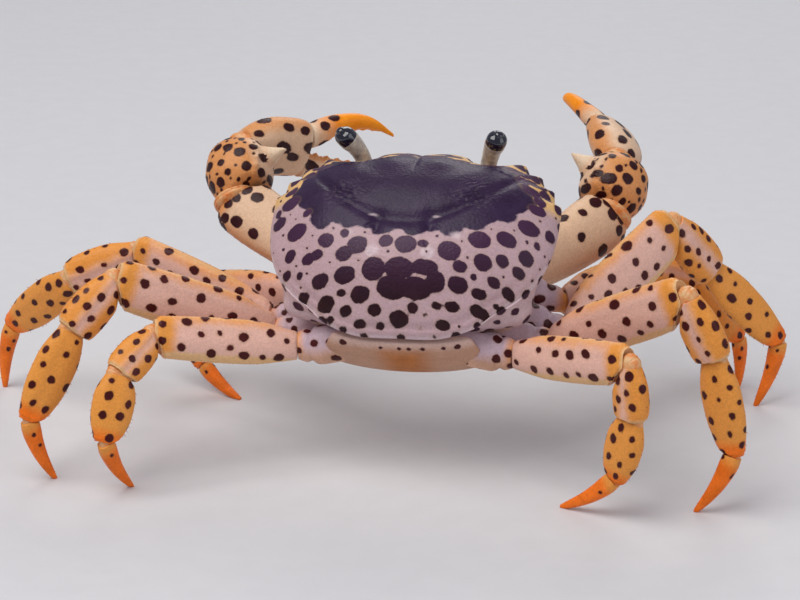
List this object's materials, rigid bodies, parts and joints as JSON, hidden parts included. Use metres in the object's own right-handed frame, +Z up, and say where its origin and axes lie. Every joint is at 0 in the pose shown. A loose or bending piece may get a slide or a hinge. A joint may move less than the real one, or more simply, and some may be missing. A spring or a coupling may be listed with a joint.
{
  "type": "panther crab model",
  "caption": "Life-size still model of a spotted freshwater crab standing with its front raised and its claws lifted.",
  "frame": {"origin": "under the middle of the whole crab's box, at the level of the eight feet", "axes": "+X to the crab's right and across its leg span, +Y to its head, +Z up from the floor"},
  "size_m": [0.151, 0.1024, 0.0586],
  "materials": {
    "shell": "hard shell with a soft wet gloss, lavender-beige with slate-violet spots",
    "belly": "thin tan shell of the underside, faintly glossy",
    "limb": "orange and lavender-beige shell with dark brown spots",
    "claw": "cream and orange-tan shell with dark brown spots",
    "finger": "smooth vivid orange shell",
    "eye": "polished black-violet cornea on a pale stalk",
    "membrane": "soft pale skin in the joints"
  },
  "bodies": {
    "root": {"carapace": "shell", "thorax": "belly", "pleon": "belly", "eye_left": "eye", "antenna_left": "limb", "maxilliped_left": "belly", "claw_left_hip": "claw", "claw_left_arm": "claw", "claw_left_wrist": "claw", "claw_left_palm": "claw", "claw_left_finger": "finger", "leg1_left_hip": "limb", "leg1_left_merus": "limb", "leg1_left_carpus": "limb", "leg1_left_propodus": "limb", "leg1_left_dactylus": "limb", "leg2_left_hip": "limb", "leg2_left_merus": "limb", "leg2_left_carpus": "limb", "leg2_left_propodus": "limb", "leg2_left_dactylus": "limb", "leg3_left_hip": "limb", "leg3_left_merus": "limb", "leg3_left_carpus": "limb", "leg3_left_propodus": "limb", "leg3_left_dactylus": "limb", "leg4_left_hip": "limb", "leg4_left_merus": "limb", "leg4_left_carpus": "limb", "leg4_left_propodus": "limb", "leg4_left_dactylus": "limb", "eye_right": "eye", "antenna_right": "limb", "maxilliped_right": "belly", "claw_right_hip": "claw", "claw_right_arm": "claw", "claw_right_wrist": "claw", "claw_right_palm": "claw", "claw_right_finger": "finger", "leg1_right_hip": "limb", "leg1_right_merus": "limb", "leg1_right_carpus": "limb", "leg1_right_propodus": "limb", "leg1_right_dactylus": "limb", "leg2_right_hip": "limb", "leg2_right_merus": "limb", "leg2_right_carpus": "limb", "leg2_right_propodus": "limb", "leg2_right_dactylus": "limb", "leg3_right_hip": "limb", "leg3_right_merus": "limb", "leg3_right_carpus": "limb", "leg3_right_propodus": "limb", "leg3_right_dactylus": "limb", "leg4_right_hip": "limb", "leg4_right_merus": "limb", "leg4_right_carpus": "limb", "leg4_right_propodus": "limb", "leg4_right_dactylus": "limb"}
  },
  "joints": []
}
